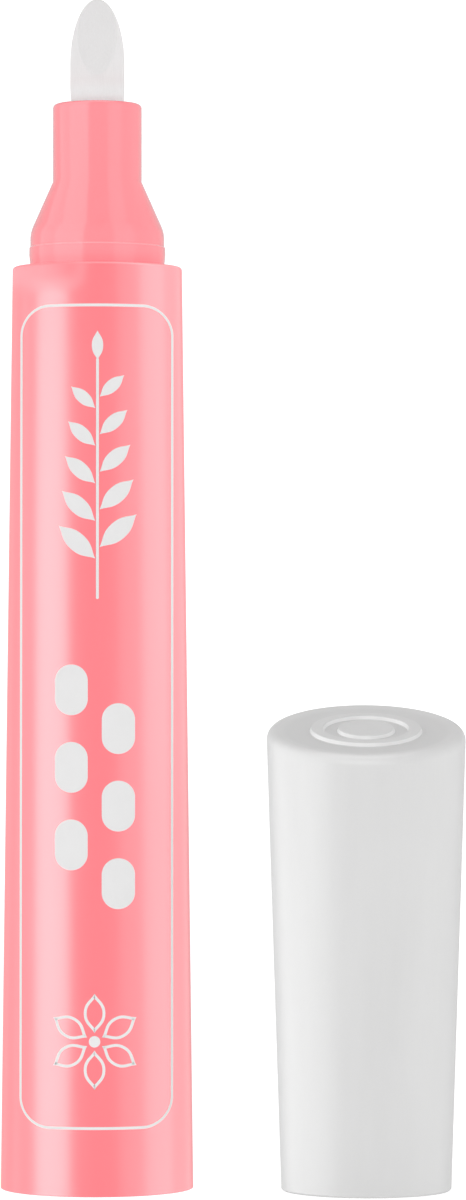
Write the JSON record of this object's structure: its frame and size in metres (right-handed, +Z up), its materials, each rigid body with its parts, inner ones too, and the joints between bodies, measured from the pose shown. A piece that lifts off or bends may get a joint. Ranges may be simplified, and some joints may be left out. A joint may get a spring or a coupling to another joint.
{
  "type": "nail care pen",
  "caption": "Felt-tip nail care pen with a tapered barrel, a spring valve behind its nib, and a taken-off cap with a slanted end standing beside it.",
  "frame": {"origin": "centre of the tail plug's flat face, on which the pen stands", "axes": "+Z up along the pen towards the nib, +X towards the cap that stands beside it, -Y towards the picture's camera"},
  "size_m": [0.0371, 0.0174, 0.0952],
  "materials": {
    "barrel_plastic": "satin moulded",
    "nose_plastic": "gloss moulded",
    "nib_felt": "bonded fibre",
    "cap_plastic": "satin moulded",
    "natural_plastic": "unpigmented",
    "seal_rubber": "smooth",
    "spring_steel": "drawn wire",
    "print_ink": "screen print"
  },
  "bodies": {
    "pen": {"barrel": "barrel_plastic", "tail_plug": "barrel_plastic", "nose": "nose_plastic", "valve_seat": "seal_rubber", "valve_cage": "natural_plastic", "valve_spring": "spring_steel"},
    "nib": {"nib": "nib_felt", "valve_stem": "natural_plastic"},
    "cap": {"cap_shell": "cap_plastic", "cap_liner": "natural_plastic"}
  },
  "joints": [
    {"name": "nib_press", "type": "slide", "parent": "pen", "child": "nib", "axis": [0, 0, -1], "range_m": [0, 0.0018], "stiffness_N_per_m": 400, "springref_m": -0.001, "deforming": ["valve_spring"]},
    {"name": "cap_lift", "type": "slide", "parent": "pen", "child": "cap", "axis": [0, 0, 1], "range_m": [0, 0.1]}
  ]
}
